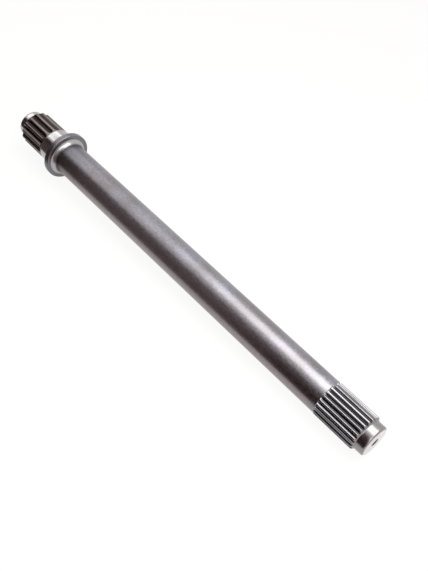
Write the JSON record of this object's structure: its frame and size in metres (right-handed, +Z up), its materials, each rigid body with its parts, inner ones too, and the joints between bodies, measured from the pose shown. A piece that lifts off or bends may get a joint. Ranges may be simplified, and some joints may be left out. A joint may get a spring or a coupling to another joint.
{
  "type": "transmission shaft",
  "caption": "Solid one-piece drive shaft with a raised collar, a coarse spline beside a ground seat at one end and a fine spline at the other.",
  "frame": {"origin": "on the shaft's axis, in the plane of the collar's shoulder that a hub slid on from the coarse end stops against", "axes": "+X along the axis to the coarse spline, -X along the body to the fine spline, +Z up through the middle of a fine groove as the shaft lies, +Y by the right-hand rule"},
  "size_m": [0.4267, 0.0432, 0.0432],
  "materials": {
    "steel": "dark satin, shot-blasted and oiled, with brighter ground seat, pilots and spline teeth"
  },
  "bodies": {
    "root": {"splined_shaft": "steel"}
  },
  "joints": []
}
